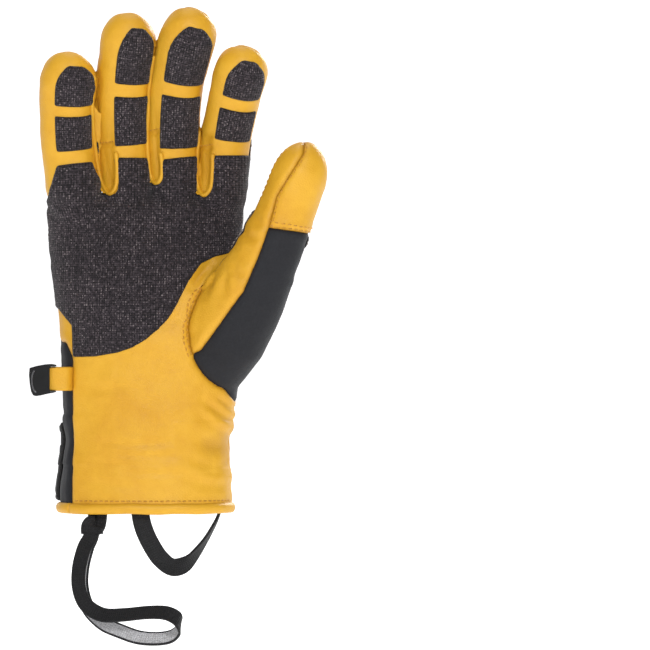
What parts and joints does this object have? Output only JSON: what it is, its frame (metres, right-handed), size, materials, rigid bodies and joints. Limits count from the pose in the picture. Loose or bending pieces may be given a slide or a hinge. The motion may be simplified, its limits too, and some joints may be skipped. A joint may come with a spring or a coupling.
{
  "type": "climbing glove",
  "caption": "Right-hand full-finger climbing glove: leather with knit patches, softshell back, cuff flap, side clip and webbing loops.",
  "frame": {"origin": "centre of the cuff's mouth, where the wrist goes in", "axes": "+Z from the cuff to the fingertips, -Y out of the palm, +X to the thumb side"},
  "size_m": [0.1485, 0.0902, 0.3172],
  "materials": {
    "leather": "smooth gold goatskin with fine grain",
    "knit": "speckled dark knit",
    "softshell": "matte black softshell",
    "flap_cloth": "black coated cloth with a sheen",
    "clip_plastic": "glossy black",
    "webbing": "woven black webbing"
  },
  "bodies": {
    "root": {"knuckle_panel": "leather", "palm_leather": "leather", "cuff_thumb_panel": "leather", "back_softshell": "softshell", "little_leather": "leather", "little_back_panel": "softshell", "little_cap": "leather", "little_tip_patch": "knit", "little_lower_patch": "knit", "ring_leather": "leather", "ring_back_panel": "softshell", "ring_cap": "leather", "ring_tip_patch": "knit", "ring_lower_patch": "knit", "middle_leather": "leather", "middle_back_panel": "softshell", "middle_cap": "leather", "middle_tip_patch": "knit", "middle_lower_patch": "knit", "index_leather": "leather", "index_back_panel": "softshell", "index_cap": "leather", "index_tip_patch": "knit", "index_lower_patch": "knit", "thumb_leather": "leather", "thumb_cap": "leather", "thumb_softshell": "softshell", "thumb_patch": "knit", "palm_patch": "knit", "palm_hem": "leather", "back_hem": "leather", "closure_flap": "flap_cloth", "slit_loop": "leather", "side_tab": "leather", "side_clip": "clip_plastic", "pull_loop": "webbing", "leash_loop": "webbing", "leash_sleeve": "webbing"}
  },
  "joints": []
}
